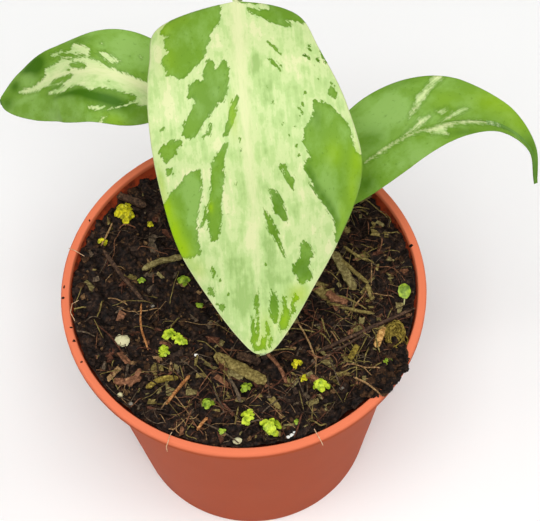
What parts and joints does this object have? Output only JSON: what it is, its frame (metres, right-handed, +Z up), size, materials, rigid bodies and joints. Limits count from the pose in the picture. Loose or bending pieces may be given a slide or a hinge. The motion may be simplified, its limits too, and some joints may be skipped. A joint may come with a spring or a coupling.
{
  "type": "potted variegated monstera",
  "caption": "Young variegated monstera with arching oval leaves on slender stalks, growing in dark potting mix in a round tapered terracotta-coloured plastic nursery pot.",
  "frame": {"origin": "centre of the underside of the pot's base, on the surface that the pot stands on", "axes": "+Z up along the pot's axis, -Y towards the front, where the tip of the largest leaf points, +X to the side of the long narrow leaf"},
  "size_m": [0.1308, 0.0909, 0.1501],
  "materials": {
    "pot_plastic": "satin terracotta-coloured polypropylene, moulded",
    "potting_mix": "damp peat and coir with bark, twigs and moss, rough",
    "green_stem": "smooth fleshy green stem and leaf stalks, satin",
    "leaf_blade": "smooth leathery leaf, pale green and cream with green patches, satin"
  },
  "bodies": {
    "root": {"pot": "pot_plastic", "potting_mix": "potting_mix", "stem": "green_stem", "leaf_stalk_front": "green_stem", "leaf_stalk_left": "green_stem", "leaf_stalk_right": "green_stem", "leaf_blade_front": "leaf_blade", "leaf_blade_left": "leaf_blade", "leaf_blade_right": "leaf_blade"}
  },
  "joints": []
}
